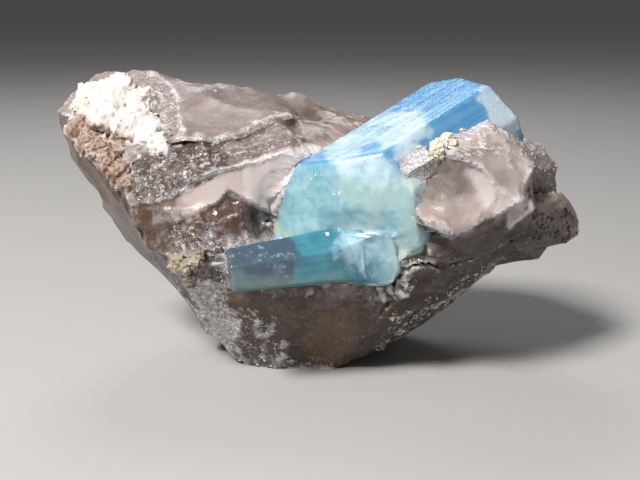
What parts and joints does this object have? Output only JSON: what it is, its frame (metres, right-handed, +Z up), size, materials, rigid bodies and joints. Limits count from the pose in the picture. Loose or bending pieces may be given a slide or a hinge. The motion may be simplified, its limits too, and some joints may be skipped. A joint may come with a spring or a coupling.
{
  "type": "quartz with aquamarine specimen",
  "caption": "Broken lump of smoky quartz with a large and a small six-sided aquamarine crystal grown in it and crusts of pale feldspar; stands on a small natural break.",
  "frame": {"origin": "middle of the footprint box, on the surface that the stone stands on", "axes": "+X along the stone's length towards the large crystal's end, +Y from the show side to the back, +Z up"},
  "size_m": [0.0404, 0.0206, 0.023],
  "materials": {
    "smoky_quartz": "glassy broken surface, translucent pinkish grey-brown, whitish along bruised edges",
    "aquamarine": "clear to cloudy sky-blue crystal, fine grooves along the prism faces, turquoise on the broken face",
    "dark_aquamarine": "clear grey-blue crystal turning teal, with pale inner cracks",
    "white_feldspar": "matte crumbly white, stained rusty brown on its lower edge",
    "cream_feldspar": "matte cream grains"
  },
  "bodies": {
    "root": {"smoky_quartz": "smoky_quartz", "large_aquamarine": "aquamarine", "small_aquamarine": "dark_aquamarine", "feldspar_patch": "white_feldspar", "feldspar_seam": "cream_feldspar", "feldspar_grain_left": "cream_feldspar", "feldspar_grain_middle": "cream_feldspar", "feldspar_grain_lower": "cream_feldspar"}
  },
  "joints": []
}
